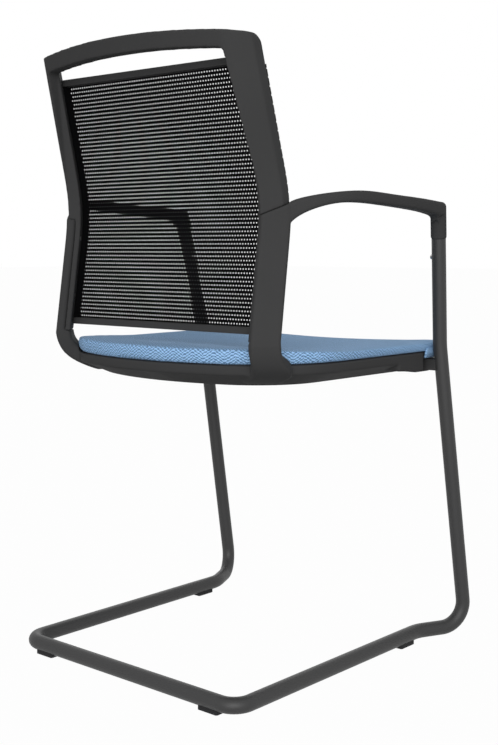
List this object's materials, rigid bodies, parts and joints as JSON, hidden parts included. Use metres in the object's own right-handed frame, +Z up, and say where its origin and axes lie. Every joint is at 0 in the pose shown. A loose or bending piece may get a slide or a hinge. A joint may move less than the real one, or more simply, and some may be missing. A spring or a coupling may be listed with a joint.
{
  "type": "conference chair",
  "caption": "Conference chair with a black net back between grey uprights, closed arm loops, a padded blue seat and a bent tube sled base.",
  "frame": {"origin": "on the floor, midway between the two arms and midway between the front of the feet and the rearmost point of the top rail", "axes": "+X to the sitter's left, -Y the way the chair faces, +Z up"},
  "size_m": [0.5956, 0.5299, 0.9215],
  "materials": {
    "plastic": "fine matte grain, dark grey",
    "tube": "fine textured powder coat, dark grey",
    "glide": "matte black",
    "net": "black knitted net",
    "net_edge": "matte black",
    "upholstery": "light blue herringbone knit",
    "board": "dark stained plywood",
    "steel": "zinc plated"
  },
  "bodies": {
    "root": {"sled_frame": "tube", "seat_cross_rail": "tube", "glide_rear_left": "glide", "glide_rear_right": "glide", "glide_front_left": "glide", "glide_front_right": "glide", "glide_pin_rear_left": "steel", "glide_pin_rear_right": "steel", "glide_pin_front_left": "steel", "glide_pin_front_right": "steel", "seat_pan": "plastic", "seat_board": "board", "seat_cushion": "upholstery", "pan_screw_rear_left": "steel", "pan_screw_rear_right": "steel", "pan_screw_front_left": "steel", "pan_screw_front_right": "steel", "back_frame": "plastic", "back_net": "net", "net_bar_top": "plastic", "net_bar_bottom": "plastic", "side_moulding_left": "plastic", "side_moulding_right": "plastic", "net_strip_left": "net_edge", "net_strip_right": "net_edge", "rail_screw_left": "steel", "rail_screw_right": "steel", "arm_screw_left": "steel", "arm_screw_right": "steel", "foot_screw_left": "steel", "foot_screw_right": "steel", "clad_screw_low_left": "steel", "clad_screw_low_right": "steel", "clad_screw_high_left": "steel", "clad_screw_high_right": "steel"}
  },
  "joints": []
}
